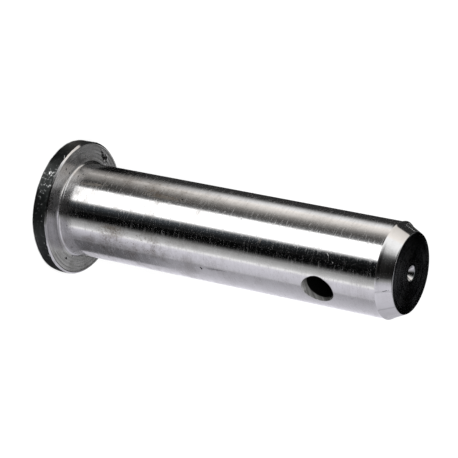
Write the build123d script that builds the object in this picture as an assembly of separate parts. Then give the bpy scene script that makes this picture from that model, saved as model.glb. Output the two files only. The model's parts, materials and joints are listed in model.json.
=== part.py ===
from build123d import *

import os
from math import radians, tan

# Headed clevis pin, turned from one piece of bar with an upset head. It stands on its
# head: the origin is the centre of the head's flat back, +Z runs up the shank to the
# bevelled tip, and the cross hole for the split pin lies along X. Sizes are in mm.

# ---- Shank -------------------------------------------------------------------------
shank_diameter = 25.4  # one-inch bright bar
shank_length = 100.0  # from the head's bearing face to the tip
neck_fillet = 0.8  # where the shank meets the bearing face

# ---- Head --------------------------------------------------------------------------
head_overhang = 5.8  # how far the head stands out past the shank all round
head_thickness = 4.8
head_back_round = 0.9  # forged corner between the rim and the flat back
head_bevel_width = 0.45  # turned bevel on the bearing side, measured across the face
head_bevel_height = 0.55  # the same bevel, measured down the rim

# ---- Tip ---------------------------------------------------------------------------
tip_bevel_depth = 2.0  # taken off the shank's radius
tip_bevel_length = 4.05  # run along the shank

# ---- Cross hole for the split pin --------------------------------------------------
cross_hole_diameter = 8.2
cross_hole_to_tip = 20.7  # from the hole's centre to the end face
drill_overrun = 5.0  # how far the drill runs clear of the shank on each side
countersink_diameter = 9.2  # where the countersink meets the shank's outermost line
countersink_angle = 90.0  # included angle

# ---- Centre-drilled hole that held the bar in the lathe ----------------------------
centre_mouth_diameter = 4.1
centre_cone_angle = 60.0  # included angle of the lathe centre
centre_pilot_diameter = 1.9
centre_pilot_length = 2.2  # straight part below the cone
centre_point_angle = 118.0  # included angle that the drill leaves at the bottom

# ---- Sizes that follow from the ones above -----------------------------------------
shank_radius = shank_diameter / 2
head_radius = shank_radius + head_overhang
overall_length = head_thickness + shank_length
cross_hole_height = overall_length - cross_hole_to_tip


def turned_blank() -> Part:
    """The head, neck, shank and bevelled tip as one section turned about Z."""
    back_corner = (head_radius, 0)
    neck_corner = (shank_radius, head_thickness)
    with BuildPart() as blank:
        with BuildSketch(Plane.YZ) as section:
            with BuildLine():
                Polyline(
                    (0, 0),
                    back_corner,
                    (head_radius, head_thickness - head_bevel_height),
                    (head_radius - head_bevel_width, head_thickness),
                    neck_corner,
                    (shank_radius, overall_length - tip_bevel_length),
                    (shank_radius - tip_bevel_depth, overall_length),
                    (0, overall_length),
                    close=True,
                )
            make_face()
            fillet(section.vertices().sort_by_distance(back_corner)[0], head_back_round)
            fillet(section.vertices().sort_by_distance(neck_corner)[0], neck_fillet)
        revolve(axis=Axis.Z)
    return blank.part


def cross_drill() -> Part:
    """The space left by the split-pin hole's drill and by a countersink run into each mouth.

    On a round shank the countersink bites deepest at the two ends of the mouth that lie
    along the shank, and hardly touches its sides.
    """
    drill_radius = cross_hole_diameter / 2
    sink_slope = tan(radians(countersink_angle / 2))
    sink_point = shank_radius - countersink_diameter / 2 / sink_slope
    sink_end = shank_radius + drill_overrun
    with BuildPart() as cutter:
        with BuildSketch(Plane.XZ):
            with BuildLine():
                Polyline(
                    (0, 0),
                    (0, drill_radius),
                    (sink_point + drill_radius / sink_slope, drill_radius),
                    (sink_end, (sink_end - sink_point) * sink_slope),
                    (sink_end, 0),
                    close=True,
                )
            make_face()
        revolve(axis=Axis.X)
        mirror(about=Plane.YZ)
    return cutter.part.moved(Location((0, 0, cross_hole_height)))


def centre_drill() -> Part:
    """The space left by a centre drill: a cone, a straight pilot and the drill's point."""
    mouth_radius = centre_mouth_diameter / 2
    pilot_radius = centre_pilot_diameter / 2
    cone_depth = (mouth_radius - pilot_radius) / tan(radians(centre_cone_angle / 2))
    pilot_depth = cone_depth + centre_pilot_length
    point_depth = pilot_depth + pilot_radius / tan(radians(centre_point_angle / 2))
    with BuildPart() as cutter:
        with BuildSketch(Plane.YZ):
            with BuildLine():
                Polyline(
                    (0, overall_length),
                    (mouth_radius, overall_length),
                    (pilot_radius, overall_length - cone_depth),
                    (pilot_radius, overall_length - pilot_depth),
                    (0, overall_length - point_depth),
                    close=True,
                )
            make_face()
        revolve(axis=Axis.Z)
    return cutter.part


def clevis_pin() -> Part:
    """The whole pin: turned, cross-drilled and centre-drilled."""
    pin = turned_blank() - cross_drill() - centre_drill()
    pin.label = "clevis_pin"
    return pin


os.makedirs("parts", exist_ok=True)
export_step(clevis_pin(), "parts/clevis_pin.step")
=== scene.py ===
"""Headed clevis pin in bright turned steel, standing on its head on a pale floor.

The visible pin is one closed turned surface: the forged head, the turned bearing face,
the ground shank with its countersunk cross hole, the bevelled tip and the centre-drilled
end. Lengths inside the classes are millimetres and become metres in the mesh. Bearings
are degrees round +Z from the cross hole's axis, +X.
"""

import json
import logging
import math
from dataclasses import dataclass, field
from enum import Enum
from functools import cached_property
from typing import Any, ClassVar, Optional, Sequence

import bpy
import numpy as np
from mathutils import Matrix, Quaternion, Vector


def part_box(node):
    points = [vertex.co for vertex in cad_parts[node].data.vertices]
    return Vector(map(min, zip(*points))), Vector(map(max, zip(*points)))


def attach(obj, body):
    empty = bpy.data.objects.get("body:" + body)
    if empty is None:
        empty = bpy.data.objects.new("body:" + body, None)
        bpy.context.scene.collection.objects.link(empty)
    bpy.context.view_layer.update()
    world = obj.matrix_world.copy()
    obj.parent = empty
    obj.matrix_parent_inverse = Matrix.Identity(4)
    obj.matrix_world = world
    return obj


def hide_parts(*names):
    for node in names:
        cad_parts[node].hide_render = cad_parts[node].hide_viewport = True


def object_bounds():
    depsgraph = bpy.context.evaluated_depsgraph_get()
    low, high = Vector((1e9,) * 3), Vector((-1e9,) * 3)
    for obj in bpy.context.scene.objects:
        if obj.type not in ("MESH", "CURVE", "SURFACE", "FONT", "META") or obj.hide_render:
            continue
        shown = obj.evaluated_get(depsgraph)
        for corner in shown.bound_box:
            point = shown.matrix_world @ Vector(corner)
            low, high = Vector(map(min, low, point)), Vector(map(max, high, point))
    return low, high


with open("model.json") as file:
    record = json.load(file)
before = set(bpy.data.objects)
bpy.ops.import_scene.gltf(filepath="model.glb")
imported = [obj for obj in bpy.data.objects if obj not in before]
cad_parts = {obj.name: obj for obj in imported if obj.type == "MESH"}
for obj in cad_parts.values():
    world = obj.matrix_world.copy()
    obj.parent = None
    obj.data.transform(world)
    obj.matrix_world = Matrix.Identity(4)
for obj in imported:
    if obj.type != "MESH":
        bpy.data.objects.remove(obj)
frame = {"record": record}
cad_low, cad_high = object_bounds()

logging.basicConfig(level=logging.INFO, format="%(message)s")
log = logging.getLogger("clevis_pin")

NODE = "clevis_pin"
BODY = "root"
MM = 0.001
FRONT = -44.3  # bearing that the studio is laid out from, in degrees
STEEL_SHINE = 0.6  # share of light that bare steel throws back
TOUCH = 0.01  # how near counts as lying on a surface, in millimetres


def turn_from(bearing: np.ndarray, degrees: float) -> np.ndarray:
    """Signed angle in radians from a bearing in degrees, within half a turn each way."""
    return np.angle(np.exp(1j * (bearing - math.radians(degrees))))


def ridges(radius: np.ndarray, pitch: float) -> np.ndarray:
    """Rings that a lathe tool leaves: (1 - cos(2 pi r / pitch)) / 2."""
    return 0.5 - 0.5 * np.cos(2 * np.pi * radius / pitch)


def add_object(name: str, data: Any) -> bpy.types.Object:
    """Puts a new object in the scene."""
    made = bpy.data.objects.new(name, data)
    bpy.context.scene.collection.objects.link(made)
    return made


# ---------------------------------------------------------------- shapes of the pin


class Finish(Enum):
    """The surfaces that forging, turning and drilling left, one material slot each."""

    FORGED = 0
    TURNED = 1
    GROUND = 2
    BEVELLED = 3
    FACED = 4
    CENTRED = 5
    DRILLED = 6


@dataclass(frozen=True)
class Lumps:
    """Smooth random relief: the sum of plane waves that cross at random, scaled to about -1 to 1.

    Attributes:
        size: distance between lumps in millimetres.
        seed: start of the random draws.
        waves: how many waves are added.
    """

    size: float
    seed: int
    waves: int = 20

    def at(self, points: np.ndarray) -> np.ndarray:
        """Height of the relief: sum of cos(2 pi k . p + phase), over the root of the count.

        Args:
            points: positions in millimetres, last axis x, y, z.

        Returns:
            One height for each point.
        """
        draw = np.random.default_rng(self.seed)
        heading = draw.normal(size=(self.waves, 3))
        heading /= np.linalg.norm(heading, axis=1, keepdims=True)
        pitch = self.size * draw.uniform(0.7, 1.6, self.waves)
        phase = draw.uniform(0, 2 * np.pi, self.waves)
        turns = points @ (heading / pitch[:, None]).T
        return np.cos(2 * np.pi * turns + phase).sum(-1) / math.sqrt(self.waves)


@dataclass(frozen=True)
class Skin:
    """The turned surface before wear, as a grid with rows along the outline.

    Attributes:
        radius: distance of each point from the axis, in millimetres.
        height: height of each point in millimetres.
        bearing: direction of each column in radians.
        out: outward part of each row's outward direction.
        up: upward part of it.
    """

    radius: np.ndarray
    height: np.ndarray
    bearing: np.ndarray
    out: np.ndarray
    up: np.ndarray

    @cached_property
    def points(self) -> np.ndarray:
        """Each point as x, y, z."""
        x, y = self.radius * np.cos(self.bearing), self.radius * np.sin(self.bearing)
        return np.stack([x, y, self.height], -1)


@dataclass(frozen=True)
class Dent:
    """A knock in the surface, an ellipse with a ragged outline.

    Attributes:
        bearing: direction of its centre round the pin, in degrees.
        radius: distance of its centre from the axis.
        height: height of its centre.
        across: half its size round the pin.
        along: half its size along the outline.
        depth: how deep it goes.
        slant: how far it leans, in millimetres across for each along.
    """

    bearing: float
    radius: float
    height: float
    across: float
    along: float
    depth: float
    slant: float = 0.0

    def cut(self, skin: Skin, chips: Lumps) -> np.ndarray:
        """How deep it goes at each point: depth (1 - e^2)^1.3, e being the distance in its ellipse.

        Args:
            skin: the surface that it is knocked into.
            chips: relief that roughens the outline of a small dent.

        Returns:
            One depth for each point, in millimetres.
        """
        beyond, above = skin.radius - self.radius, skin.height - self.height
        off = turn_from(skin.bearing, self.bearing) * self.radius
        along = beyond * -skin.up + above * skin.out
        ragged = 1 + 0.3 * (self.across < 2) * chips.at(skin.points)
        e = np.hypot((off - self.slant * along) / self.across, along / self.along) * ragged
        facing = (np.abs(beyond) < 2.5) & (np.abs(above) < 2.5)
        return self.depth * np.clip(1 - e**2, 0, 1) ** 1.3 * facing


@dataclass
class Outline:
    """The turned section of the pin, from the middle of the head's back to the drill point.

    Attributes:
        stations: radius and height of each station, in millimetres.
        finishes: the finish of the strip from each station to the next.
    """

    stations: list[np.ndarray] = field(default_factory=list)
    finishes: list[Finish] = field(default_factory=list)

    def run(self, start: tuple[float, float], end: tuple[float, float], step: float,
            finish: Finish) -> None:
        """Adds a straight run: start + t (end - start), with t evenly spaced and the end left out.

        Args:
            start: radius and height where it starts.
            end: radius and height where it ends.
            step: widest spacing of its stations.
            finish: finish of its strips.
        """
        first, last = np.array(start, float), np.array(end, float)
        count = max(1, math.ceil(np.linalg.norm(last - first) / step))
        for share in np.arange(count) / count:
            self.stations.append(first + share * (last - first))
            self.finishes.append(finish)

    def bend(self, corner: tuple[float, float], before: tuple[float, float], after: tuple[float, float],
             radius: float, count: int, finish: Finish) -> tuple[tuple[float, float], tuple[float, float]]:
        """Works out a rounded corner: start + r (sin a d + (1 - cos a) n), a from 0 to the turn.

        Args:
            corner: the sharp corner.
            before: a point on the line that comes in.
            after: a point on the line that goes out.
            radius: radius of the rounding.
            count: how many strips it has.
            finish: finish of the strips.

        Returns:
            Where the rounding starts and where it ends.
        """
        tip = np.array(corner, float)
        d_in = tip - before
        d_in /= np.linalg.norm(d_in)
        d_out = np.array(after, float) - tip
        d_out /= np.linalg.norm(d_out)
        side = d_out - (d_out @ d_in) * d_in
        side /= np.linalg.norm(side)
        turn = math.acos(float(d_in @ d_out))
        setback = radius * math.tan(turn / 2)
        start = tip - setback * d_in
        for angle in turn * np.arange(count) / count:
            self.stations.append(start + radius * (math.sin(angle) * d_in + (1 - math.cos(angle)) * side))
            self.finishes.append(finish)
        end = tip + setback * d_out
        return tuple(start), tuple(end)

    def path(self, corners: Sequence[tuple], roundings: Sequence[tuple[float, int]],
             steps: Sequence[float], finishes: Sequence[Finish]) -> None:
        """Adds runs between corners, each inner corner rounded.

        Args:
            corners: the corners, first and last included.
            roundings: radius and strip count at each inner corner.
            steps: station spacing on each run.
            finishes: finish of each run and of the rounding that ends it.
        """
        start = corners[0]
        for i in range(1, len(corners) - 1):
            ahead = Outline()
            finish = finishes[i - 1]
            opens, closes = ahead.bend(corners[i], corners[i - 1], corners[i + 1], *roundings[i - 1], finish)
            self.run(start, opens, steps[i - 1], finish)
            self.stations += ahead.stations
            self.finishes += ahead.finishes
            start = closes
        self.run(start, corners[-1], steps[-1], finishes[-1])

    def close(self, last: tuple[float, float]) -> None:
        """Ends the outline at a point on the axis."""
        self.stations.append(np.array(last, float))


@dataclass
class ClevisPin:
    """The whole pin as one closed surface.

    Sizes repeat the ones that the solid is turned to, in millimetres. The head's size, the
    length, the shank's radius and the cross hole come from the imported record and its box.
    Each entry of lip_peaks is where the burr is tallest: its bearing in degrees, how many
    times lip_height it adds there and how wide it is in radians.
    """

    head_radius: float
    length: float
    shank_radius: float
    hole_radius: float
    hole_height: float
    head_thickness: float = 4.8
    head_back_round: float = 0.9
    head_bevel_width: float = 0.45
    head_bevel_height: float = 0.55
    neck_fillet: float = 0.8
    tip_bevel_depth: float = 2.0
    tip_bevel_length: float = 4.05
    countersink_radius: float = 4.6
    mouth_steepness: float = 3.6
    centre_mouth_radius: float = 2.05
    centre_pilot_radius: float = 0.95
    centre_pilot_length: float = 2.2
    drill_half_angle: float = 59.0
    around: int = 300
    window_columns: int = 23
    window_reach: float = 6.25
    window_rows: int = 25
    scale_depth: float = 0.1
    rim_relief: tuple[tuple[float, Lumps], ...] = (
        (0.5, Lumps(9.0, 3)),
        (0.35, Lumps(2.6, 5)),
        (0.22, Lumps(0.9, 8, 28)),
    )
    lip_height: float = 0.17
    lip_rest: float = 0.12
    lip_above: float = 0.15
    lip_width: float = 0.42
    lip_peaks: tuple[tuple[float, float, float], ...] = ((-132.3, 1.5, 0.42), (44.0, 0.8, 0.45))
    ridge_pitch: float = 0.9
    ridge_depth: float = 0.007
    groove_radius: float = 17.72
    groove_width: float = 0.09
    groove_depth: float = 0.05
    end_ridge_pitch: float = 0.7
    end_ridge_depth: float = 0.0006
    dents: tuple[Dent, ...] = (
        Dent(-151.5, 15.7, 4.8, 0.75, 1.0, 0.5, -1.4),
        Dent(-157.0, 15.9, 4.8, 0.6, 0.7, 0.4, -0.8),
        Dent(16.0, 18.5, 0.3, 13.0, 1.9, 0.3),
        Dent(-87.8, 18.5, 3.6, 0.28, 0.75, 0.16, 0.25),
        Dent(-86.2, 18.5, 2.7, 0.5, 0.25, 0.1),
        Dent(-58.0, 18.5, 1.7, 0.6, 0.45, 0.1),
        Dent(-66.0, 18.5, 2.6, 0.4, 0.5, 0.09),
        Dent(-49.0, 18.5, 2.2, 0.45, 0.35, 0.1),
    )

    @classmethod
    def from_frame(cls) -> "ClevisPin":
        """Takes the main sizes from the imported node's box and from the record's mounts.

        Returns:
            The pin at those sizes.
        """
        low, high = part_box(NODE)
        mounts = {mount["name"]: mount for mount in frame["record"]["mounts"]}
        return cls(
            head_radius=(high.x - low.x) / 2 / MM,
            length=high.z / MM,
            shank_radius=mounts["shank"]["dims"]["r_mm"],
            hole_radius=mounts["cross_hole"]["dims"]["r_mm"],
            hole_height=mounts["cross_hole"]["pos_m"][2] / MM,
        )

    @property
    def shoulder(self) -> float:
        """Height where the shank ends and the tip's bevel starts."""
        return self.length - self.tip_bevel_length

    def outline(self) -> Outline:
        """The turned section, corner by corner, with close stations where the surface has relief.

        Returns:
            The outline.
        """
        head, shank, top = self.head_radius, self.shank_radius, self.head_thickness
        bevel_foot = (head, top - self.head_bevel_height)
        bevel_top = (head - self.head_bevel_width, top)
        cone_depth = (self.centre_mouth_radius - self.centre_pilot_radius) * math.sqrt(3)
        pilot_top = self.length - cone_depth
        pilot_foot = pilot_top - self.centre_pilot_length
        drill_drop = self.centre_pilot_radius / math.tan(math.radians(self.drill_half_angle))
        drill_point = (0, pilot_foot - drill_drop)
        low = self.hole_height - self.window_reach
        high = self.hole_height + self.window_reach
        made = Outline()
        made.path(
            [(0, 0), (head, 0), bevel_foot, bevel_top, (shank, top), (shank, low)],
            [(self.head_back_round, 6), (0.05, 2), (0.05, 2), (self.neck_fillet, 7)],
            [1.2, 0.2, 0.12, 0.115, 1.4],
            [Finish.FORGED, Finish.FORGED, Finish.BEVELLED, Finish.TURNED, Finish.GROUND],
        )
        window_step = 2 * self.window_reach / self.window_rows + 1e-6
        made.run((shank, low), (shank, high), window_step, Finish.GROUND)
        made.run((shank, high), (shank, self.shoulder - 0.8), 0.8, Finish.GROUND)
        tip_radius = shank - self.tip_bevel_depth
        made.path(
            [
                (shank, self.shoulder - 0.8),
                (shank, self.shoulder),
                (tip_radius, self.length),
                (self.centre_mouth_radius, self.length),
                (self.centre_pilot_radius, pilot_top),
                (self.centre_pilot_radius, pilot_foot),
                drill_point,
            ],
            [(0.2, 3), (0.1, 3), (0.05, 2), (0.05, 2), (0.05, 1)],
            [0.1, 0.3, 0.17, 0.25, 0.5, 0.4],
            [Finish.GROUND, Finish.BEVELLED, Finish.FACED] + [Finish.CENTRED] * 3,
        )
        made.close(drill_point)
        return made

    def rim_wear(self, skin: Skin) -> tuple[np.ndarray, np.ndarray]:
        """How the forged rim differs from a turned one.

        It goes in by layered lumps, and the turned bevel's foot climbs with it, in the slope of
        the bevel, so the bevel's edge is ragged.

        Args:
            skin: the surface before wear.

        Returns:
            How far each point goes in, and how far it climbs.
        """
        head, back, width = self.head_radius, self.head_back_round, self.head_bevel_width
        bevel_foot = self.head_thickness - self.head_bevel_height
        low = skin.height < self.head_thickness + TOUCH
        on_rim = low & (skin.radius > head - back - TOUCH) & (skin.out > 0.3)
        on_bevel = on_rim & (skin.height > bevel_foot - 3 * TOUCH)
        raw = sum(weight * relief.at(skin.points) for weight, relief in self.rim_relief)
        lumps = self.scale_depth * np.clip(0.6 + 0.8 * raw, 0, 2)
        share = np.where(on_bevel, np.clip((skin.radius - head + width) / width, 0, 1), 1)
        climb = np.clip((skin.height - back) / (bevel_foot - back), 0, 1)
        inward = on_rim * lumps * share
        return inward, inward * (skin.height > back) * climb * self.head_bevel_height / width

    def face_wear(self, skin: Skin) -> np.ndarray:
        """How deep the tool marks go in the bearing face, with its thin groove, and in the end face.

        Args:
            skin: the surface before wear.

        Returns:
            One depth for each point, in millimetres.
        """
        flat = skin.up > 0.9
        low = skin.height < self.head_thickness + TOUCH
        on_face = flat & low & (skin.radius < self.head_radius - self.head_bevel_width)
        on_end = flat & (skin.height > self.length - TOUCH)
        wander = np.clip(1 + 0.5 * Lumps(7.0, 12).at(skin.points), 0.2, 2)
        bell = np.exp(-(((skin.radius - self.groove_radius) / self.groove_width) ** 2))
        groove = self.groove_depth * bell * np.clip(0.6 + 0.6 * Lumps(12.0, 15).at(skin.points), 0, 1)
        turned = self.ridge_depth * ridges(skin.radius, self.ridge_pitch) * wander + groove
        return on_face * turned + on_end * self.end_ridge_depth * ridges(skin.radius, self.end_ridge_pitch)

    def burr(self, skin: Skin) -> np.ndarray:
        """How far the shoulder's burr stands out: a bell curve of height, tall at its peaks.

        Args:
            skin: the surface before wear.

        Returns:
            One distance for each point, in millimetres.
        """
        peaks = sum(
            tall * np.exp(-((turn_from(skin.bearing, where) / wide) ** 2))
            for where, tall, wide in self.lip_peaks
        )
        size = self.lip_height * (1 + 0.35 * Lumps(8.0, 21).at(skin.points)) * (self.lip_rest + peaks)
        above = (skin.height - self.shoulder - self.lip_above) / self.lip_width
        return size * np.exp(-(above**2)) * (skin.radius > self.hole_radius)

    def worn(self, skin: Skin) -> tuple[np.ndarray, np.ndarray]:
        """Moves the turned grid to its real, used shape: rim, flat faces, burr and dents.

        Args:
            skin: the surface before wear.

        Returns:
            The new radius and height.
        """
        inward, climb = self.rim_wear(skin)
        height = skin.height + climb - self.face_wear(skin)
        radius = skin.radius - inward + self.burr(skin)
        for index, dent in enumerate(self.dents):
            depth = dent.cut(skin, Lumps(0.8, 40 + index))
            radius = radius - depth * skin.out
            height = height - depth * skin.up
        return radius, np.clip(height, 0, self.length)

    def mouth(self, y: np.ndarray, z: np.ndarray, out: float) -> np.ndarray:
        """A loop on the shank round the cross hole, at the given directions.

        The countersink's cone meets the shank where rho = c - (R - sqrt(R^2 - y^2)), y being rho
        times the cosine of the direction, and it is never inside the bore.

        Args:
            y: sideways parts of the directions, unit length with z.
            z: upward parts of the directions.
            out: how far outside the edge the loop lies.

        Returns:
            Points x, y, z with z measured from the hole's centre.
        """
        size = np.full_like(y, self.countersink_radius)
        for _ in range(12):
            sag = self.shank_radius - np.sqrt(self.shank_radius**2 - (size * y) ** 2)
            size = np.maximum(self.hole_radius + 0.02, self.countersink_radius - sag)
        size = size + out
        x = np.sqrt(self.shank_radius**2 - (size * y) ** 2)
        return np.stack([x, size * y, size * z], -1)

    def hole_rings(self, edge: np.ndarray) -> tuple[np.ndarray, list[Finish]]:
        """Rings from the window's edge, over the shank, down the countersink and to mid bore.

        On the shank a ring is (1 - w) edge + w mouth, in the unrolled surface, w rising fast at
        first. In the bore the rings are circles at even depths.

        Args:
            edge: points of the window's edge, x, y, z from the hole's centre.

        Returns:
            Rings after the edge, one array for each, and the finish of the strip before each.
        """
        arc = np.arctan2(edge[:, 1], edge[:, 0]) * self.shank_radius
        length = np.hypot(arc, edge[:, 2])
        y, z = arc / length, edge[:, 2] / length
        lip = self.mouth(y, z, 0.07)
        lip_arc = np.arctan2(lip[:, 1], lip[:, 0]) * self.shank_radius
        rings, finishes = [], []
        for share in 1 - (1 - np.arange(1, 9) / 8) ** 1.4:
            wide = (1 - share) * arc + share * lip_arc
            tall = (1 - share) * edge[:, 2] + share * lip[:, 2]
            turn = wide / self.shank_radius
            flat = self.shank_radius * np.array([np.cos(turn), np.sin(turn)])
            rings.append(np.stack([*flat, tall], -1))
            finishes.append(Finish.GROUND)
        rim = self.mouth(y, z, 0.0)
        drop = self.mouth_steepness * (np.hypot(rim[:, 1], rim[:, 2]) - self.hole_radius)
        foot = np.stack([rim[:, 0] - drop, self.hole_radius * y, self.hole_radius * z], -1)
        rim[:, 0] -= 0.02
        rings.append(0.97 * rim + 0.03 * foot)
        rings.append(foot)
        finishes += [Finish.DRILLED, Finish.DRILLED]
        for share in np.arange(1, 13) / 12:
            ring = foot.copy()
            ring[:, 0] = foot[:, 0] * (1 - share)
            rings.append(ring)
            finishes.append(Finish.DRILLED)
        return np.array(rings), finishes

    def build(self) -> bpy.types.Object:
        """Sweeps the outline round the axis, cuts the two windows and fills them with the cross hole.

        Point (i, j) of the grid is (r cos b, r sin b, z) with r and z from station i after wear and
        b from column j. Both poles are single points. The far mouth mirrors the near one in x.

        Returns:
            The finished mesh object.
        """
        outline = self.outline()
        stations = np.array(outline.stations)
        rows, columns = len(stations), self.around
        bearing = 2 * np.pi * np.arange(columns) / columns
        slope = np.gradient(stations, axis=0)
        slope /= np.linalg.norm(slope, axis=1, keepdims=True)
        skin = Skin(
            radius=np.repeat(stations[:, :1], columns, 1),
            height=np.repeat(stations[:, 1:], columns, 1),
            bearing=np.broadcast_to(bearing, (rows, columns)),
            out=slope[:, 1:],
            up=-slope[:, :1],
        )
        radius, height = self.worn(skin)
        grid = np.stack([radius * np.cos(bearing), radius * np.sin(bearing), height], -1)
        index = 1 + np.arange((rows - 2) * columns).reshape(rows - 2, columns)
        points = [grid[:1, 0], grid[1:-1].reshape(-1, 3), grid[-1:, 0]]
        after = np.roll(index, -1, 1)
        quads = np.stack([index[:-1], after[:-1], after[1:], index[1:]], -1)
        skins = np.repeat([f.value for f in outline.finishes[1 : rows - 2]], columns)
        skins = skins.reshape(rows - 3, columns)
        off_shank = np.abs(stations[:, 0] - self.shank_radius) > TOUCH
        off_foot = np.abs(stations[:, 1] - (self.hole_height - self.window_reach))
        first = int(np.argmin(off_foot + self.length * off_shank)) - 1
        last = first + self.window_rows
        keep = np.ones((rows - 3, columns), bool)
        side = np.arange(-self.window_columns, self.window_columns)
        for middle in (0, columns // 2):
            keep[first:last, (side + middle) % columns] = False
        tube = self.tube(grid, index, first, last, len(points[0]) + len(points[1]) + 1)
        points.append(tube[0])
        pole = 1 + (rows - 2) * columns
        bottom = np.stack([np.zeros(columns, int), after[0], index[0]], -1)
        top = np.stack([np.full(columns, pole), index[-1], after[-1]], -1)
        faces = np.concatenate([quads[keep], tube[1]])
        marks = np.concatenate([skins[keep], tube[2], np.full(columns, outline.finishes[0].value),
                                np.full(columns, outline.finishes[-1].value)])
        return self.mesh("pin", np.concatenate(points) * MM, faces, np.concatenate([bottom, top]), marks)

    def tube(self, grid: np.ndarray, index: np.ndarray, first: int, last: int,
             start: int) -> tuple[np.ndarray, np.ndarray, np.ndarray]:
        """The cross hole's surface, from one window's edge to the other's.

        Args:
            grid: all grid points.
            index: their numbers in the mesh, without the poles.
            first: first row of the window.
            last: last row of the window.
            start: number of the first new point.

        Returns:
            New points, quads and finish numbers.
        """
        reach = self.window_columns
        low = [(first, j) for j in range(-reach, reach)]
        right = [(i, reach) for i in range(first, last)]
        high = [(last, j) for j in range(reach, -reach, -1)]
        left = [(i, -reach) for i in range(last, first, -1)]
        loop = np.array(low + right + high + left)
        near = index[loop[:, 0], loop[:, 1] % self.around]
        far = index[loop[:, 0], (self.around // 2 - loop[:, 1]) % self.around]
        edge = grid[loop[:, 0] + 1, loop[:, 1] % self.around] - [0, 0, self.hole_height]
        rings, finishes = self.hole_rings(edge)
        count, size = rings.shape[:2]
        numbers = start + np.arange(count * size).reshape(count, size)
        mirrored = start + count * size + np.arange((count - 1) * size).reshape(count - 1, size)
        strips = np.concatenate([near[None], numbers])
        back = np.concatenate([far[None], mirrored, numbers[-1:]])
        quads, skins = [], []
        for strip, flip in ((strips, False), (back, True)):
            ahead = np.roll(strip, -1, 1)
            quad = np.stack([strip[:-1], ahead[:-1], ahead[1:], strip[1:]], -1).reshape(-1, 4)
            quads.append(quad[:, ::-1] if flip else quad)
            skins.append(np.repeat([f.value for f in finishes], size))
        new = rings.reshape(-1, 3)
        other = rings[:-1].reshape(-1, 3) * [-1, 1, 1]
        points = np.concatenate([new, other]) + [0, 0, self.hole_height]
        return points, np.concatenate(quads), np.concatenate(skins)

    def mesh(self, name: str, points: np.ndarray, quads: np.ndarray, fans: np.ndarray,
             marks: np.ndarray) -> bpy.types.Object:
        """Puts arrays of points, four-sided and three-sided faces into a mesh, smooth but at edges.

        Args:
            name: name of the piece.
            points: positions in metres.
            quads: four point numbers for each face.
            fans: three point numbers for each face.
            marks: material number of each face, quads first.

        Returns:
            The mesh object, linked to the scene.
        """
        mesh = bpy.data.meshes.new(name)
        corners = np.concatenate([quads.ravel(), fans.ravel()])
        totals = np.concatenate([np.full(len(quads), 4), np.full(len(fans), 3)])
        starts = np.concatenate([[0], np.cumsum(totals)[:-1]])
        mesh.vertices.add(len(points))
        mesh.vertices.foreach_set("co", points.ravel())
        mesh.loops.add(len(corners))
        mesh.loops.foreach_set("vertex_index", corners)
        mesh.polygons.add(len(totals))
        mesh.polygons.foreach_set("loop_start", starts)
        mesh.polygons.foreach_set("material_index", marks)
        mesh.polygons.foreach_set("use_smooth", np.ones(len(totals), bool))
        mesh.update(calc_edges=True)
        mesh.validate()
        mesh.set_sharp_from_angle(angle=math.radians(38))
        return add_object(name, mesh)


# ---------------------------------------------------------------- finishes


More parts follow.
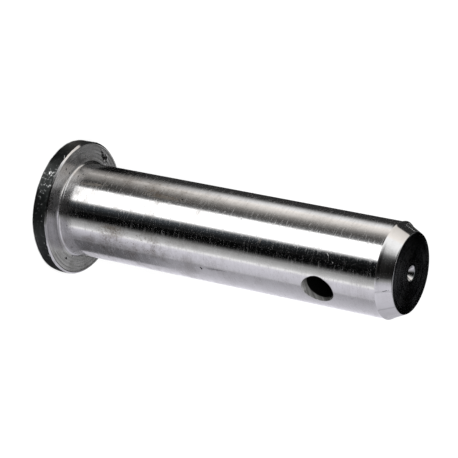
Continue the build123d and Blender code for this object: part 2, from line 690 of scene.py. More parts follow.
class Wiring:
    """Adds nodes to one tree and joins them."""

    def __init__(self, tree: bpy.types.NodeTree) -> None:
        """Keeps the tree and empties it."""
        self.tree = tree
        tree.nodes.clear()

    def add(self, kind: str, inputs: Optional[dict] = None, **settings: Any) -> bpy.types.Node:
        """Adds one node.

        Args:
            kind: the node's type.
            inputs: what goes to its sockets, by name or place: another socket, or a value.
            settings: its own options.

        Returns:
            The node.
        """
        node = self.tree.nodes.new(kind)
        for name, value in settings.items():
            setattr(node, name, value)
        for name, value in (inputs or {}).items():
            if isinstance(value, bpy.types.NodeSocket):
                self.tree.links.new(value, node.inputs[name])
            else:
                node.inputs[name].default_value = value
        return node

    def math(self, operation: str, first: Any, second: Any = 0.0,
             clamp: bool = False) -> bpy.types.NodeSocket:
        """One sum on two values."""
        node = self.add("ShaderNodeMath", {0: first, 1: second}, operation=operation, use_clamp=clamp)
        return node.outputs[0]

    def times(self, first: Any, second: Any) -> bpy.types.NodeSocket:
        """Product of two values."""
        return self.math("MULTIPLY", first, second)

    def plus(self, first: Any, second: Any, clamp: bool = False) -> bpy.types.NodeSocket:
        """Sum of two values, held within 0 and 1 when clamped."""
        return self.math("ADD", first, second, clamp)

    def use(self, tree: bpy.types.NodeTree, inputs: dict) -> bpy.types.Node:
        """Adds a shared group."""
        return self.add("ShaderNodeGroup", inputs, node_tree=tree)

    def show(self, shader: bpy.types.Node, kind: str = "Material") -> None:
        """Ends the tree in a shader."""
        out = self.add(f"ShaderNodeOutput{kind}")
        self.tree.links.new(shader.outputs[0], out.inputs[0])

    def span(self, value: Any, low: Any, high: Any, to_low: float = 0.0,
             to_high: float = 1.0) -> bpy.types.NodeSocket:
        """Eases a value from one range into another and holds it there.

        Args:
            value: what is eased.
            low: where the first range starts.
            high: where it ends.
            to_low: what the start becomes.
            to_high: what the end becomes.

        Returns:
            The eased value.
        """
        return self.add(
            "ShaderNodeMapRange",
            {"Value": value, "From Min": low, "From Max": high, "To Min": to_low, "To Max": to_high},
            interpolation_type="SMOOTHSTEP",
        ).outputs["Result"]

    def blend(self, factor: Any, first: Any, second: Any, mode: str = "MIX") -> bpy.types.NodeSocket:
        """Mixes two colours.

        Args:
            factor: how much of the second shows.
            first: the colour underneath.
            second: the colour laid over it.
            mode: how the second is laid over the first.

        Returns:
            The mixed colour.
        """
        node = self.add("ShaderNodeMix", data_type="RGBA", blend_type=mode)
        for place, value in ((0, factor), (6, first), (7, second)):
            if isinstance(value, bpy.types.NodeSocket):
                self.tree.links.new(value, node.inputs[place])
            else:
                node.inputs[place].default_value = value
        return node.outputs[2]

    def noise(self, vector: Any, scale: Any, detail: float, rough: float) -> bpy.types.NodeSocket:
        """Cloudy noise of about 0 to 1.

        Args:
            vector: where it is read.
            scale: clouds per metre.
            detail: how many finer layers it has.
            rough: how strong each finer layer is.

        Returns:
            The noise.
        """
        inputs = {"Vector": vector, "Scale": scale, "Detail": detail, "Roughness": rough}
        return self.add("ShaderNodeTexNoise", inputs).outputs["Fac"]


def start_material(name: str) -> tuple[bpy.types.Material, Wiring]:
    """Makes an empty material, with the wiring of its tree."""
    made = bpy.data.materials.new(name)
    made.use_nodes = True
    return made, Wiring(made.node_tree)


class Effects:
    """Shader groups that the finishes share, each built once."""

    PLACE = ("Vector", "Vector", (0, 0, 0))

    @staticmethod
    def group(name: str, inputs: Sequence[tuple[str, str, Any]],
              outputs: Sequence[str]) -> tuple[bpy.types.NodeTree, Wiring, bpy.types.Node, bpy.types.Node]:
        """Starts a group.

        Args:
            name: the group's name.
            inputs: name, socket type and default of each input.
            outputs: name of each value that it puts out.

        Returns:
            The group, its wiring, its input node and its output node.
        """
        tree = bpy.data.node_groups.new(name, "ShaderNodeTree")
        for label, kind, value in inputs:
            socket = tree.interface.new_socket(label, in_out="INPUT", socket_type=f"NodeSocket{kind}")
            socket.default_value = value
        for label in outputs:
            tree.interface.new_socket(label, in_out="OUTPUT", socket_type="NodeSocketFloat")
        wiring = Wiring(tree)
        return tree, wiring, wiring.add("NodeGroupInput"), wiring.add("NodeGroupOutput")

    @cached_property
    def turned_lines(self) -> bpy.types.NodeTree:
        """Fine lines round the Z axis, from noise read at radius plus height, slowly changing round.

        Returns:
            The group, which puts out fine lines and broad ones.
        """
        tree, w, given, out = self.group(
            "turned lines",
            [self.PLACE, ("Lines per metre", "Float", 2500.0), ("Wander", "Float", 250.0)],
            ["Fine", "Broad"],
        )
        parts = w.add("ShaderNodeSeparateXYZ", {"Vector": given.outputs["Vector"]})
        x, y, z = parts.outputs
        square = w.plus(w.math("POWER", x, 2.0), w.math("POWER", y, 2.0))
        way = w.plus(w.math("SQRT", square), z)
        for label, share in (("Fine", 1.0), ("Broad", 0.22)):
            lines = w.times(w.times(way, given.outputs["Lines per metre"]), share)
            wander = w.times(given.outputs["Wander"], share)
            place = w.add("ShaderNodeCombineXYZ", {0: w.times(x, wander), 1: w.times(y, wander), 2: lines})
            noise = w.noise(place.outputs[0], 1.0, 3.0, 0.65)
            w.tree.links.new(w.span(noise, 0.3, 0.7), out.inputs[label])
        return tree

    @cached_property
    def mottle(self) -> bpy.types.NodeTree:
        """Cloudy stains and a fine speckle, from layered noise cut at a level.

        Returns:
            The group.
        """
        tree, w, given, out = self.group(
            "mottle",
            [self.PLACE, ("Cloud scale", "Float", 220.0), ("Speckle scale", "Float", 1500.0)],
            ["Clouds", "Speckle"],
        )
        for label, scale, low, high in (
            ("Clouds", "Cloud scale", 0.42, 0.68),
            ("Speckle", "Speckle scale", 0.55, 0.72),
        ):
            noise = w.noise(given.outputs["Vector"], given.outputs[scale], 5.0, 0.68)
            w.tree.links.new(w.span(noise, low, high), out.inputs[label])
        return tree

    @cached_property
    def pits(self) -> bpy.types.NodeTree:
        """Scattered small pits: rounds of random size about a few of the cell centres.

        Returns:
            The group.
        """
        tree, w, given, out = self.group(
            "pits",
            [self.PLACE, ("Scale", "Float", 430.0), ("Share", "Float", 0.06)],
            ["Pits"],
        )
        inputs = {name: given.outputs[name] for name in ("Vector", "Scale")}
        cells = w.add("ShaderNodeTexVoronoi", inputs)
        chance = w.add("ShaderNodeSeparateColor", {"Color": cells.outputs["Color"]})
        chosen = w.math("LESS_THAN", chance.outputs[0], given.outputs["Share"])
        size = w.span(chance.outputs[1], 0.0, 1.0, 0.08, 0.26)
        round_pit = w.span(w.math("DIVIDE", cells.outputs["Distance"], size), 0.6, 1.0, 1.0, 0.0)
        w.tree.links.new(w.times(chosen, round_pit), out.inputs["Pits"])
        return tree

    @cached_property
    def surface_mark(self) -> bpy.types.NodeTree:
        """One mark with a ragged edge: 1 inside a turned ellipsoid, 0 outside it.

        Returns:
            The group.
        """
        tree, w, given, out = self.group(
            "surface mark",
            [
                self.PLACE,
                ("Centre", "Vector", (0, 0, 0)),
                ("Turn", "Vector", (0, 0, 0)),
                ("Size", "Vector", (1, 1, 1)),
                ("Softness", "Float", 0.4),
            ],
            ["Mask"],
        )
        local = w.add("ShaderNodeMapping", {
            "Vector": given.outputs["Vector"],
            "Location": given.outputs["Centre"],
            "Rotation": given.outputs["Turn"],
            "Scale": given.outputs["Size"],
        }, vector_type="TEXTURE")
        far = w.add("ShaderNodeVectorMath", {0: local.outputs[0]}, operation="LENGTH").outputs["Value"]
        rag = w.span(w.noise(given.outputs["Vector"], 2600.0, 3.0, 0.6), 0.3, 0.7, -0.4, 0.4)
        edge = w.math("SUBTRACT", 1.0, given.outputs["Softness"])
        w.tree.links.new(w.span(w.plus(far, rag), 1.0, edge), out.inputs["Mask"])
        return tree


class Trace(Enum):
    """What a mark is, with its tint, how much it covers, its roughness and its depth in millimetres."""

    PIT = ((0.012, 0.010, 0.009, 1), 0.95, 0.75, -0.05)
    STAIN = ((0.16, 0.11, 0.055, 1), 0.55, 0.45, 0.0)
    # Dark smears, and on the bearing face patches of painted shade that stand in for dark reflections.
    SMEAR = ((0.10, 0.10, 0.105, 1), 0.5, 0.5, 0.0)
    SCRATCH = ((0.9, 0.9, 0.9, 1), 0.85, 0.42, -0.03)
    FLECKS = ((0.8, 0.81, 0.81, 1), 1.0, 0.45, 0.0)
    GRIME = ((0.15, 0.12, 0.095, 1), 0.85, 0.3, 0.0)


@dataclass(frozen=True)
class Mark:
    """A pit, scratch, stain or patch of painted shade at one place on the pin.

    Attributes:
        trace: what it is.
        bearing: direction round the pin in degrees.
        radius: distance from the axis in millimetres.
        height: height in millimetres.
        half_across: half its size round the pin in millimetres.
        half_along: half its size up the pin, or outwards on a flat face, in millimetres.
        lean: how far it is turned in the surface, in degrees.
        softness: how much of it is fading edge.
    """

    trace: Trace
    bearing: float
    radius: float
    height: float
    half_across: float
    half_along: float
    lean: float = 0.0
    softness: float = 0.4

    def mask(self, w: Wiring, effects: Effects, place: bpy.types.NodeSocket,
             flat: bool) -> bpy.types.NodeSocket:
        """Places the shared mark group for this mark.

        Args:
            w: wiring of the material.
            effects: the shared groups.
            place: Object coordinates.
            flat: whether it lies on a face square to the axis.

        Returns:
            Its mask.
        """
        turn, lean = math.radians(self.bearing), math.radians(self.lean)
        across, along = self.half_across, self.half_along
        deep = max(across, along)
        size = (along, across, deep) if flat else (deep, across, along)
        centre = (self.radius * math.cos(turn), self.radius * math.sin(turn), self.height)
        return w.use(effects.surface_mark, {
            "Vector": place,
            "Centre": tuple(c * MM for c in centre),
            "Turn": (0, 0, turn + lean) if flat else (lean, 0, turn),
            "Size": tuple(s * MM for s in size),
            "Softness": self.softness,
        }).outputs["Mask"]


@dataclass(frozen=True)
class SteelFinish:
    """One finish of the steel, from colour to the marks on it.

    Attributes:
        name: name of the material.
        bright: colour of the clean steel.
        dull: colour of its stains.
        clouding: how strongly the clouds stain it.
        speckling: how strongly the speckle darkens it.
        cloud_scale: clouds per metre.
        speckle_scale: speckles per metre.
        metallic: how metallic it is.
        roughness: least and most roughness.
        streak: lengthening of highlights across the tool marks, 0 for none.
        lines: tool marks per metre.
        wander: how fast the tool marks change round the pin, per metre.
        line_depth: depth of the fine marks in millimetres.
        line_shade: how strongly the fine marks darken it.
        broad_depth: depth of the broad marks in millimetres.
        grain_depth: depth of the speckle's relief in millimetres.
        pit_share: share of cells that hold a pit.
        low: height under which handling stains are strong, in millimetres, 0 for none.
        flat: whether marks lie on a face square to the axis.
        sideways: whether the tool went along X.
        painted_shade_from: distance from the middle, along X, inside which the colour is painted near black
            as the shade deep in a bore, 0 for none.
        scuffing: how much rougher short scuffs round the pin are, 0 for none.
        marks: the marks on it.
    """

    # Painted shade: how softly, and to what near-black colour, the colour goes deep inside a bore.
    PAINTED_SHADE_EDGE: ClassVar[float] = 0.4
    BORE_PAINTED_SHADE: ClassVar[tuple[float, ...]] = (0.004, 0.004, 0.004, 1)
    ROUGH_PARTS: ClassVar[tuple[float, float]] = (0.55, 0.45)
    SCUFFS: ClassVar[dict[str, float]] = {"Lines per metre": 1900.0, "Wander": 330.0}
    PIT_COVER: ClassVar[float] = 0.8
    PIT_DEPTH: ClassVar[float] = 0.03

    name: str
    bright: tuple[float, float, float, float] = (0.6, 0.598, 0.6, 1)
    dull: tuple[float, float, float, float] = (0.36, 0.34, 0.32, 1)
    clouding: float = 0.3
    speckling: float = 0.2
    cloud_scale: float = 260.0
    speckle_scale: float = 1500.0
    metallic: float = 1.0
    roughness: tuple[float, float] = (0.2, 0.34)
    streak: float = 0.7
    lines: float = 2400.0
    wander: float = 260.0
    line_depth: float = 0.0014
    line_shade: float = 0.0
    broad_depth: float = 0.0
    grain_depth: float = 0.0
    pit_share: float = 0.0
    low: float = 0.0
    flat: bool = False
    sideways: bool = False
    painted_shade_from: float = 0.0
    scuffing: float = 0.0
    marks: tuple[Mark, ...] = ()

    def material(self, effects: Effects) -> bpy.types.Material:
        """Builds the finish: stained colour with painted shade deep in a bore, streaked roughness and the
        relief of tool marks.

        Args:
            effects: the shared groups.

        Returns:
            The material.
        """
        made, w = start_material(self.name)
        place = w.add("ShaderNodeTexCoord").outputs["Object"]
        way = place
        if self.sideways:
            quarter = {"Vector": place, "Rotation": (0, math.radians(90), 0)}
            way = w.add("ShaderNodeMapping", quarter).outputs[0]
        tool = {"Vector": way, "Lines per metre": self.lines, "Wander": self.wander}
        fine, broad = w.use(effects.turned_lines, tool).outputs
        scales = {"Vector": place, "Cloud scale": self.cloud_scale, "Speckle scale": self.speckle_scale}
        clouds, speckle = w.use(effects.mottle, scales).outputs
        every_cloud = clouds
        if self.low:
            z = w.add("ShaderNodeSeparateXYZ", {"Vector": place}).outputs[2]
            clouds = w.times(clouds, w.span(z, self.low * MM, self.low * 1.6 * MM, 1.0, 0.35))
        stain = w.plus(w.times(clouds, self.clouding), w.times(speckle, self.speckling), clamp=True)
        if self.line_shade:
            stain = w.plus(stain, w.times(fine, self.line_shade), clamp=True)
        colour = w.blend(stain, self.bright, self.dull)
        # Painted shade: deep in the bore, along X, the colour fades to near black in place of the shade that
        # falls there.
        if self.painted_shade_from:
            depth = w.math("ABSOLUTE", w.add("ShaderNodeSeparateXYZ", {"Vector": place}).outputs[0])
            bore_shade = w.span(depth, self.painted_shade_from * MM, (self.painted_shade_from - self.PAINTED_SHADE_EDGE) * MM)
            colour = w.blend(bore_shade, colour, self.BORE_PAINTED_SHADE)
        line_part, cloud_part = self.ROUGH_PARTS
        uneven = w.plus(w.times(fine, line_part), w.times(clouds, cloud_part), clamp=True)
        rough = w.span(uneven, 0.0, 1.0, *self.roughness)
        if self.scuffing:
            scuffs = w.use(effects.turned_lines, {"Vector": place, **self.SCUFFS})
            rough = w.plus(rough, w.span(scuffs.outputs["Fine"], 0.6, 1.0, 0.0, self.scuffing))
        relief = w.plus(w.times(fine, self.line_depth), w.times(broad, self.broad_depth))
        relief = w.plus(relief, w.times(speckle, self.grain_depth))
        if self.pit_share:
            pits = w.use(effects.pits, {"Vector": place, "Share": self.pit_share}).outputs[0]
            colour = w.blend(w.times(pits, self.PIT_COVER), colour, Trace.PIT.value[0])
            relief = w.math("SUBTRACT", relief, w.times(pits, self.PIT_DEPTH))
        for mark in self.marks:
            tint, cover, mark_rough, depth = mark.trace.value
            mask = mark.mask(w, effects, place, self.flat)
            if mark.trace is Trace.FLECKS:
                mask = w.times(mask, speckle)
            elif mark.trace is Trace.GRIME:
                mask = w.plus(w.times(mask, speckle), w.times(mask, w.times(every_cloud, 0.6)), clamp=True)
            colour = w.blend(w.times(mask, cover), colour, tint)
            eased = w.times(mask, 0.9)
            rough = w.plus(w.times(rough, w.math("SUBTRACT", 1.0, eased)), w.times(eased, mark_rough))
            if depth:
                relief = w.plus(relief, w.times(mask, depth))
        bump = w.add("ShaderNodeBump", {"Height": relief, "Strength": 1.0, "Distance": MM})
        shader = w.add("ShaderNodeBsdfPrincipled", {
            "Base Color": colour,
            "Metallic": self.metallic,
            "Roughness": rough,
            "Normal": bump.outputs[0],
            "Anisotropic": self.streak,
            "Anisotropic Rotation": 0.25,
        })
        if self.streak:
            round_axis = "X" if self.sideways else "Z"
            tangent = w.add("ShaderNodeTangent", direction_type="RADIAL", axis=round_axis)
            w.tree.links.new(tangent.outputs[0], shader.inputs["Tangent"])
        w.show(shader)
        return made


def finishes(pin: ClevisPin) -> dict[Finish, SteelFinish]:
    """The pin's seven finishes, with the marks that use has left on them and patches of painted shade on the
    bearing face.

    Args:
        pin: the pin, for the radii and heights that its marks lie at.

    Returns:
        One finish for each kind of surface.
    """
    shank, face = pin.shank_radius, pin.head_thickness
    ground = (
        Mark(Trace.PIT, 3.5, shank, 49.3, 0.45, 0.4, 20),
        Mark(Trace.SMEAR, 1.5, shank, 53.5, 0.5, 4.0, 3, 0.8),
        Mark(Trace.STAIN, -46.8, shank, 67.0, 0.9, 0.45, 0, 0.7),
        Mark(Trace.SCRATCH, -46.6, shank, 86.9, 0.1, 0.6, -52, 0.8),
        Mark(Trace.SCRATCH, -38.8, shank, 88.6, 0.08, 0.45, -50, 0.8),
        Mark(Trace.SMEAR, -45.0, shank, 71.0, 1.0, 0.12, 0, 0.6),
        Mark(Trace.PIT, -89.1, shank, 8.0, 0.22, 0.2),
        Mark(Trace.PIT, -86.0, shank, 9.6, 0.18, 0.16),
        Mark(Trace.PIT, -84.5, shank, 7.0, 0.15, 0.2),
        Mark(Trace.PIT, -18.0, shank, 7.6, 0.2, 0.16),
        Mark(Trace.PIT, -60.5, shank, 31.0, 0.16, 0.14),
        Mark(Trace.PIT, 32.0, shank, 9.6, 0.5, 1.0, 25, 0.6),
        Mark(Trace.PIT, 35.0, shank, 12.6, 0.3, 0.6, 0, 0.8),
        Mark(Trace.GRIME, -79.0, shank, 34.0, 1.7, 12.0, 0, 0.9),
        Mark(Trace.STAIN, -76.5, shank, 13.0, 0.9, 5.5, 4, 0.9),
        Mark(Trace.STAIN, -78.0, shank, 35.0, 1.0, 9.0, 0, 0.9),
        Mark(Trace.STAIN, -84.0, shank, 31.0, 1.0, 2.5, 10, 0.9),
        Mark(Trace.STAIN, -27.0, shank, 22.0, 1.2, 5.0, 0, 0.9),
        Mark(Trace.GRIME, -90.0, shank, 31.0, 3.4, 12.0, 0, 0.9),
        Mark(Trace.GRIME, -18.0, shank, 27.0, 3.0, 15.0, 0, 0.8),
        Mark(Trace.GRIME, -2.0, shank, 25.0, 4.5, 15.0, 0, 0.9),
    )
    turned = (
        Mark(Trace.PIT, -151.5, 15.7, face, 0.55, 1.7, 55, 0.3),
        Mark(Trace.PIT, -157.0, 15.9, face, 0.6, 1.0, 40, 0.3),
        # Painted shade: these four dark patches on the bearing face stand in for the dark reflections that
        # fall there near the neck.
        Mark(Trace.SMEAR, -43.0, 15.0, face, 3.6, 2.6, 0, 0.9),
        Mark(Trace.SMEAR, -46.0, 14.6, face, 2.6, 3.2, 0, 0.9),
        Mark(Trace.SMEAR, -109.0, 13.9, face, 3.6, 1.1, 0, 0.9),
        Mark(Trace.SMEAR, -104.0, 15.0, face, 1.8, 2.2, 0, 0.9),
        Mark(Trace.PIT, -80.6, 15.9, face, 0.3, 0.3),
        Mark(Trace.PIT, -82.3, 13.9, face, 0.2, 0.24),
        Mark(Trace.PIT, 30.2, 15.0, face, 0.5, 0.45),
        Mark(Trace.PIT, 40.7, 13.5, face, 0.3, 0.2),
    )
    bevelled = (
        Mark(Trace.PIT, -30.7, shank - 0.3, pin.shoulder + 0.75, 0.3, 0.26, 0, 0.3),
        Mark(Trace.SMEAR, -15.3, shank - 1.2, pin.shoulder + 2.5, 0.16, 0.9, 12),
    )
    head = pin.head_radius
    scuffed = (
        Mark(Trace.FLECKS, -66.0, head, 2.5, 3.0, 2.6, 0, 0.5),
        Mark(Trace.FLECKS, -55.0, head, 2.5, 2.8, 2.2, 0, 0.7),
        Mark(Trace.FLECKS, -64.0, head, 2.0, 1.9, 1.5, 0, 0.3),
        Mark(Trace.FLECKS, -72.0, head, 3.6, 3.4, 0.8, 0, 0.7),
        Mark(Trace.FLECKS, -42.0, head, 2.4, 3.5, 1.0, 0, 0.9),
        Mark(Trace.FLECKS, -30.0, head, 3.4, 2.6, 0.6, 0, 0.8),
        Mark(Trace.SCRATCH, -87.0, head, 3.9, 0.75, 0.13, 25, 0.5),
        Mark(Trace.FLECKS, 2.0, head, 3.9, 6.0, 0.5, 0, 0.7),
    )
    return {
        Finish.FORGED: SteelFinish(
            "forged scale", bright=(0.014, 0.016, 0.0155, 1), dull=(0.11, 0.115, 0.112, 1), clouding=0.12,
            speckling=0.7, cloud_scale=300.0, speckle_scale=1150.0, metallic=0.8, roughness=(0.5, 0.7),
            streak=0.0, line_depth=0.0, grain_depth=0.06, pit_share=0.12, marks=scuffed,
        ),
        Finish.TURNED: SteelFinish(
            "turned bearing face", roughness=(0.15, 0.28), lines=3200.0, wander=60.0, line_depth=0.005,
            broad_depth=0.012, clouding=0.4, speckling=0.25, cloud_scale=180.0, speckle_scale=900.0,
            flat=True, marks=turned,
        ),
        Finish.GROUND: SteelFinish(
            "ground shank", bright=(0.615, 0.612, 0.615, 1), dull=(0.3, 0.285, 0.27, 1), clouding=0.5,
            speckling=0.28, cloud_scale=190.0, speckle_scale=1000.0, roughness=(0.12, 0.24), streak=0.8,
            low=40.0, pit_share=0.035, scuffing=0.14, line_shade=0.1, marks=ground,
        ),
        Finish.BEVELLED: SteelFinish(
            "bevelled tip", roughness=(0.1, 0.16), lines=3600.0, line_depth=0.0015, wander=90.0,
            clouding=0.15, speckling=0.08, marks=bevelled,
        ),
        # The end face's colour is painted dark with a blue cast: painted dark reflection, darker than its
        # steel would be.
        Finish.FACED: SteelFinish(
            "faced end", bright=(0.24, 0.25, 0.27, 1), dull=(0.08, 0.07, 0.06, 1), roughness=(0.05, 0.11),
            lines=2600.0, wander=50.0, line_depth=0.0003, clouding=0.4, flat=True,
        ),
        Finish.CENTRED: SteelFinish(
            "centre hole", roughness=(0.12, 0.2), lines=3000.0, wander=90.0, clouding=0.2,
        ),
        Finish.DRILLED: SteelFinish(
            "drilled bore", bright=(0.55, 0.55, 0.545, 1), dull=(0.06, 0.057, 0.05, 1), metallic=0.75,
            roughness=(0.3, 0.42), lines=1100.0, wander=60.0, line_depth=0.004, line_shade=0.75,
            # The bore's colour goes near black deep inside: painted shade.
            clouding=0.35, sideways=True, painted_shade_from=10.8,
        ),
    }


# ---------------------------------------------------------------- studio


class Tint(Enum):
    """Cast of a reflector card."""

    PLAIN = (1.0, 1.0, 1.0)
    WARM = (1.022, 1.0, 0.976)
    LILAC = (0.992, 0.984, 1.022)
    COOL = (0.94, 1.0, 1.06)


@dataclass(frozen=True)
class Card:
    """A patch of a reflector, with soft edges.

    Attributes:
        span: first and last turn away from the studio's front, in degrees.
        shades: how light steel looks under its first and last edge, 0 to 255.
        reach: nearest and furthest place it covers, along the reflector.
        soft: width of its soft edges across the span, in degrees.
        fade: width of its soft edges along the reach.
        tint: its cast.
    """

    span: tuple[float, float]
    shades: tuple[float, float]
    reach: tuple[float, float] = (-1e4, 1e4)
    soft: float = 1.5
    fade: float = 1.0
    tint: Tint = Tint.PLAIN

    def paint(self, colour: np.ndarray, turn: np.ndarray, far: np.ndarray) -> np.ndarray:
        """Lays the card over what is there: c + m (card - c), m from eased steps at its edges.

        Args:
            colour: colours so far, as steel would look.
            turn: turn of each point in degrees.
            far: place of each point along the reflector.

        Returns:
            The new colours.
        """
        low, high = min(self.span), max(self.span)
        near, end = self.reach
        mask = np.ones_like(turn)
        for inside, width in (
            (turn - low, self.soft),
            (high - turn, self.soft),
            (far - near, self.fade),
            (end - far, self.fade),
        ):
            mask = mask * np.clip(inside / width + 0.5, 0, 1)
        mask = mask * mask * (3 - 2 * mask)
        share = np.clip((turn - self.span[0]) / (self.span[1] - self.span[0]), 0, 1)
        shade = self.shades[0] + share * (self.shades[1] - self.shades[0])
        card = shade[..., None] / 255 * np.array(self.tint.value)
        return colour + mask[..., None] * (card - colour)


def glow(colour: np.ndarray) -> np.ndarray:
    """Light that makes steel look this colour: the display curve undone, over the steel's shine."""
    curved = ((np.maximum(colour, 0) + 0.055) / 1.055) ** 2.4
    return np.where(colour < 0.04045, colour / 12.92, curved) / STEEL_SHINE


@dataclass
class Reflector:
    """A sheet of cards that only reflections see, as flags and bounces round a shiny part.

    Attributes:
        name: name of the sheet.
        base: how light steel looks where no card lies.
        cards: the cards, later ones on top.
    """

    name: str
    base: float
    cards: tuple[Card, ...]

    def hang(self, points: np.ndarray, turn: np.ndarray, far: np.ndarray) -> bpy.types.Object:
        """Makes the sheet from a grid of points and paints its cards.

        Args:
            points: grid of positions in metres.
            turn: turn of each point from the studio's front, in degrees.
            far: place of each point along the reflector.

        Returns:
            The sheet.
        """
        rows, columns = turn.shape
        colour = np.full((rows, columns, 3), self.base / 255)
        for card in self.cards:
            colour = card.paint(colour, turn, far)
        index = np.arange(rows * columns).reshape(rows, columns)
        quads = np.stack([index[:-1, :-1], index[:-1, 1:], index[1:, 1:], index[1:, :-1]], -1)
        quads = quads.reshape(-1, 4)
        mesh = bpy.data.meshes.new(self.name)
        mesh.from_pydata(points.reshape(-1, 3).tolist(), [], quads.tolist())
        shade = mesh.color_attributes.new("shade", "FLOAT_COLOR", "POINT")
        light = np.concatenate([glow(colour).reshape(-1, 3), np.ones((rows * columns, 1))], 1)
        shade.data.foreach_set("color", light.ravel())
        sheet = add_object(self.name, mesh)
        made, w = start_material(self.name)
        made.cycles.emission_sampling = "NONE"
        seen = w.add("ShaderNodeAttribute", attribute_name="shade")
        w.show(w.add("ShaderNodeEmission", {"Color": seen.outputs["Color"], "Strength": 1.0}))
        mesh.materials.append(made)
        for way in ("camera", "diffuse", "transmission", "volume_scatter", "shadow"):
            setattr(sheet, f"visible_{way}", False)
        return sheet


@dataclass
class Studio:
    """Floor, reflectors, lamp, world and camera round the pin.

    Attributes:
        pin: the pin it is laid out for.
        floor_colour: how pale the floor is.
        floor_lift: how much the floor is lifted to white where it is looked at.
        world_strength: strength of the plain world.
        lamp_power: power of the soft lamp in watts.
        lamp_place: where the soft lamp hangs, in metres.
        table_height: height of the table cards in millimetres.
        tent_radius: distance of the tent cards from the middle of the pin, in millimetres.
        view: the camera's bearing, rise and roll in degrees.
        distance: the camera's distance from what it looks at, in millimetres.
        aim_shift: what it looks at, from the middle of the pin, in millimetres.
        lens_length: its focal length in millimetres.
    """

    pin: ClevisPin
    floor_colour: float = 0.5
    floor_lift: float = 0.52
    world_strength: float = 0.62
    lamp_power: float = 9.0
    lamp_place: tuple[float, float, float] = (0.42, -0.42, 0.62)
    table_height: float = 0.3
    tent_radius: float = 880.0
    view: tuple[float, float, float] = (-44.0485, 28.4747, 101.1848)
    distance: float = 590.6
    aim_shift: tuple[float, float, float] = (-1.474, -1.524, -1.789)
    lens_length: float = 174.498

    def floor(self) -> bpy.types.Object:
        """A wide pale floor that looks white and still takes the pin's shadow.

        Returns:
            The floor.
        """
        half = 4.0
        mesh = bpy.data.meshes.new("floor")
        corners = [(-half, -half, 0), (half, -half, 0), (half, half, 0), (-half, half, 0)]
        mesh.from_pydata(corners, [], [(0, 1, 2, 3)])
        made, w = start_material("pale floor")
        made.cycles.emission_sampling = "NONE"
        rays = w.add("ShaderNodeLightPath").outputs
        seen = w.plus(rays["Is Camera Ray"], rays["Is Glossy Ray"])
        seen = w.plus(seen, rays["Is Transmission Ray"], clamp=True)
        shader = w.add("ShaderNodeBsdfPrincipled", {
            "Base Color": (self.floor_colour,) * 3 + (1,),
            "Roughness": 0.9,
            "Specular IOR Level": 0.0,
            "Emission Color": (1, 1, 1, 1),
            "Emission Strength": w.times(seen, self.floor_lift),
        })
        w.show(shader)
        mesh.materials.append(made)
        floor = add_object("floor", mesh)
        return floor

    def table_cards(self) -> bpy.types.Object:
        """Cards lying round the foot of the pin, in lines that the shank mirrors as straight bands.

        A point is P(u) + s d(2u): P on the shank's surface at turn u, d the direction at turn 2u,
        s the reach in millimetres. The turns go a little past a quarter each way, with P moved in,
        so that the two ends of the sheet overlap behind the pin.

        Returns:
            The sheet.
        """
        cards = (
            Card((-90, -43), (218, 152), tint=Tint.LILAC, soft=1.0),
            Card((-42.5, -25), (182, 212), tint=Tint.LILAC),
            Card((-27.5, -24.8), (234, 234)),
            Card((-24.6, -17.5), (198, 138)),
            Card((-17.5, -12.8), (138, 50)),
            Card((-13.2, -4), (5, 5), tint=Tint.COOL, soft=1.0),
            Card((-4, 5), (8, 84), tint=Tint.COOL),
            Card((5, 8), (120, 235)),
            Card((7.2, 26), (296, 296)),
            Card((26, 31), (118, 74)),
            Card((30.5, 36), (70, 90), tint=Tint.WARM),
            Card((36, 44), (94, 198), tint=Tint.WARM),
            Card((44, 52), (198, 240), tint=Tint.WARM),
            Card((52, 57), (240, 204)),
            Card((57, 62), (200, 88)),
            Card((62, 90), (46, 36), soft=2.0),
            # The cards that end close to the pin's foot are mostly darker than the sheet under them: painted
            # shadow of the pin on the table, as the shank mirrors it.
            Card((-42.5, -27), (112, 206), (-50, 52), 1.5, 60.0, Tint.LILAC),
            Card((-64, -43), (82, 92), (-50, 60), 3.0, 50.0, Tint.LILAC),
            Card((-90, -64), (190, 186), (-50, 34), 3.0, 30.0, Tint.LILAC),
            Card((36, 50), (74, 160), (-50, 66), 3.0, 100.0, Tint.WARM),
            Card((50, 62), (160, 64), (-50, 66), 3.0, 100.0, Tint.WARM),
            Card((28.5, 37.5), (60, 46), (-50, 40), 2.0, 50.0, Tint.WARM),
            Card((61, 84), (8, 20), (-50, 36), 3.0, 20.0),
            Card((-4, 4.5), (4, 30), (140, 1e4), 1.5, 30.0, Tint.COOL),
            Card((-100, -60), (150, 174), (270, 1e4), 3.0, 60.0, Tint.LILAC),
            Card((78, 100), (52, 70), (270, 1e4), 3.0, 60.0),
            Card((-100, -86), (84, 84), (270, 1e4), 2.0, 60.0),
        )
        turns = np.arange(-90.5, 91.1, 0.5)
        reach = np.concatenate([np.arange(0.0, 60, 5), np.arange(60, 300, 20), [350, 450, 600, 800]])
        far, turn = np.meshgrid(reach, turns, indexing="ij")
        seen = np.clip(turn, -90, 90)
        inset = self.pin.shank_radius * (1 - np.abs(turn - seen) / 4)
        foot = np.radians(FRONT - seen)
        ahead = np.radians(FRONT - 2 * seen)
        x = inset * np.cos(foot) + far * np.cos(ahead)
        y = inset * np.sin(foot) + far * np.sin(ahead)
        points = np.stack([x, y, np.full_like(x, self.table_height)], -1) * MM
        return Reflector("table_cards", 190, cards).hang(points, turn, far)

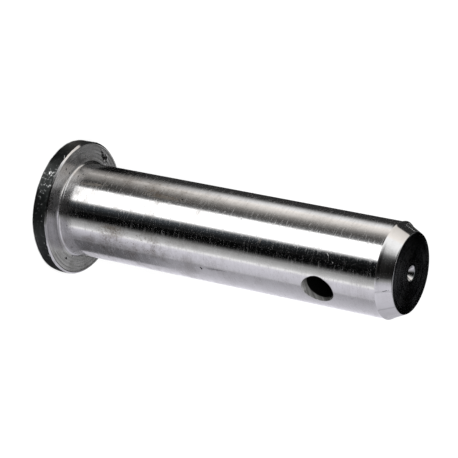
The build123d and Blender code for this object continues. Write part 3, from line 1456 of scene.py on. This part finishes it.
    def tent_cards(self) -> bpy.types.Object:
        """Cards hung round and over the pin, as patches of a wide dome.

        A point is R (cos e cos b, cos e sin b, sin e) about the middle of the pin, b the bearing at
        its turn, e its elevation in degrees.

        Returns:
            The sheet.
        """
        cards = (
            Card((-184, -110), (150, 178), tint=Tint.LILAC, soft=6),
            Card((-110, -60), (180, 202), tint=Tint.LILAC, soft=6),
            Card((-60, -34), (202, 192), tint=Tint.LILAC, soft=4),
            Card((-36, -25), (182, 100), soft=3),
            Card((-26, 14), (34, 62), soft=3, tint=Tint.WARM),
            Card((10, 26), (66, 100), soft=2),
            Card((25, 37), (104, 190), soft=2),
            Card((36, 60), (212, 240), soft=2),
            Card((58, 78), (240, 242), soft=4),
            Card((76, 119), (236, 190), soft=2, tint=Tint.WARM),
            Card((115, 184), (40, 40), soft=3),
            Card((-184, -40), (124, 138), (29.0, 60), 4, 2, Tint.LILAC),
            Card((-44, -14), (116, 14), (29.2, 60), 4, 3),
            Card((-14, 24), (6, 12), (29.2, 60), 4, 3),
            Card((24, 52), (20, 118), (29.2, 60), 4, 3),
            Card((50, 80), (128, 204), (29.2, 60), 4, 3),
            Card((80, 124), (204, 116), (29.2, 60), 4, 3),
            Card((124, 184), (104, 112), (28.6, 60), 4, 1.0),
            Card((-184, -150), (160, 160), (28.6, 60), 4, 1.0),
            Card((150, 184), (4, 4), (0, 28.4), 10, 1),
            Card((-184, -160), (4, 4), (0, 28.4), 10, 1),
        )
        turns = np.arange(-180, 180.1, 2.0)
        rises = np.concatenate([np.arange(-8, 20, 2.0), np.arange(20, 36, 0.5), np.arange(36, 90.1, 3)])
        turn, rise = np.meshgrid(turns, rises, indexing="ij")
        bearing, lift = np.radians(FRONT - turn), np.radians(rise)
        x = self.tent_radius * np.cos(lift) * np.cos(bearing)
        y = self.tent_radius * np.cos(lift) * np.sin(bearing)
        z = self.pin.length / 2 + self.tent_radius * np.sin(lift)
        return Reflector("tent_cards", 60, cards).hang(np.stack([x, y, z], -1) * MM, turn, rise)

    def light(self) -> None:
        """A plain world and one soft lamp, which shiny surfaces don't mirror."""
        scene = bpy.context.scene
        world = bpy.data.worlds.new("plain world")
        scene.world = world
        world.use_nodes = True
        world.cycles.sampling_method = "NONE"
        w = Wiring(world.node_tree)
        sky = w.add("ShaderNodeBackground", {"Color": (1, 1, 1, 1), "Strength": self.world_strength})
        w.show(sky, "World")
        lamp = bpy.data.lights.new("soft lamp", "AREA")
        lamp.shape, lamp.size, lamp.energy = "SQUARE", 0.5, self.lamp_power
        holder = add_object("soft lamp", lamp)
        holder.location = Vector(self.lamp_place)
        aim = Vector((0, 0, self.pin.length / 2 * MM)) - holder.location
        holder.rotation_mode = "QUATERNION"
        holder.rotation_quaternion = aim.to_track_quat("-Z", "Y")
        holder.visible_glossy = False

    def camera(self) -> bpy.types.Object:
        """A long lens looking down at the standing pin, rolled so that the pin lies across the view.

        Returns:
            The camera.
        """
        bearing, rise, roll = (math.radians(angle) for angle in self.view)
        aim = Vector((cad_low + cad_high) / 2) + Vector(self.aim_shift) * MM
        level = math.cos(rise)
        back = Vector((math.cos(bearing) * level, math.sin(bearing) * level, math.sin(rise)))
        lens = bpy.data.cameras.new("camera")
        lens.lens, lens.sensor_width = self.lens_length, 36.0
        lens.clip_start, lens.clip_end = 0.01, 20.0
        camera = add_object("camera", lens)
        camera.location = aim + back * self.distance * MM
        camera.rotation_mode = "QUATERNION"
        camera.rotation_quaternion = (-back).to_track_quat("-Z", "Y") @ Quaternion((0, 0, 1), roll)
        bpy.context.scene.camera = camera
        return camera

    def set_up(self) -> None:
        """Builds everything round the pin and keeps the colour settings plain."""
        bpy.context.scene.view_settings.view_transform = "Standard"
        for sheet in (self.floor(), self.table_cards(), self.tent_cards()):
            log.info("stage %s", sheet.name)
        self.light()
        self.camera()


def main() -> None:
    """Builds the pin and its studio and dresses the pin."""
    pin = ClevisPin.from_frame()
    Studio(pin).set_up()
    piece = pin.build()
    effects = Effects()
    dressed = finishes(pin)
    for finish in Finish:
        piece.data.materials.append(dressed[finish].material(effects))
    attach(piece, BODY)
    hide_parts(NODE)
    log.info("piece %s: %d faces", piece.name, len(piece.data.polygons))


if __name__ == "__main__":
    main()
